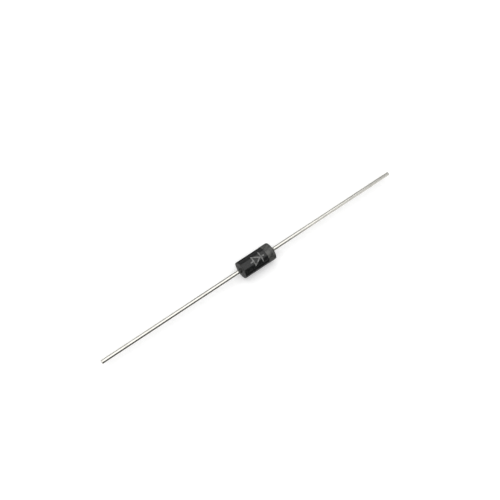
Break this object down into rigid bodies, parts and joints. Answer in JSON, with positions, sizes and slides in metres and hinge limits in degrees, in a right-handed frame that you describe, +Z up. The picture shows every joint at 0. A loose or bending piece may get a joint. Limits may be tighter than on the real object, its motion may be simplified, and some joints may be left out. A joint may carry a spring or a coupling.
{
  "type": "axial rectifier diode",
  "caption": "Axial rectifier diode: black moulded cylinder with a grey cathode band, on two straight tinned wire leads, with the chip sealed between nail heads.",
  "frame": {"origin": "middle of the moulded body, on the line of the leads", "axes": "+X out along the cathode lead, the lead at the banded end; +Z up, square to the plane on which the two mould halves part"},
  "size_m": [0.0482, 0.0026, 0.0026],
  "materials": {
    "moulding_compound": "satin",
    "band_ink": "matte",
    "tinned_wire": "satin",
    "silicon": "satin",
    "solder": "satin",
    "silicone": "satin"
  },
  "bodies": {
    "root": {"epoxy_body": "moulding_compound", "cathode_band": "band_ink", "anode_lead": "tinned_wire", "cathode_lead": "tinned_wire", "silicon_chip": "silicon", "anode_solder": "solder", "cathode_solder": "solder", "junction_coating": "silicone"}
  },
  "joints": []
}
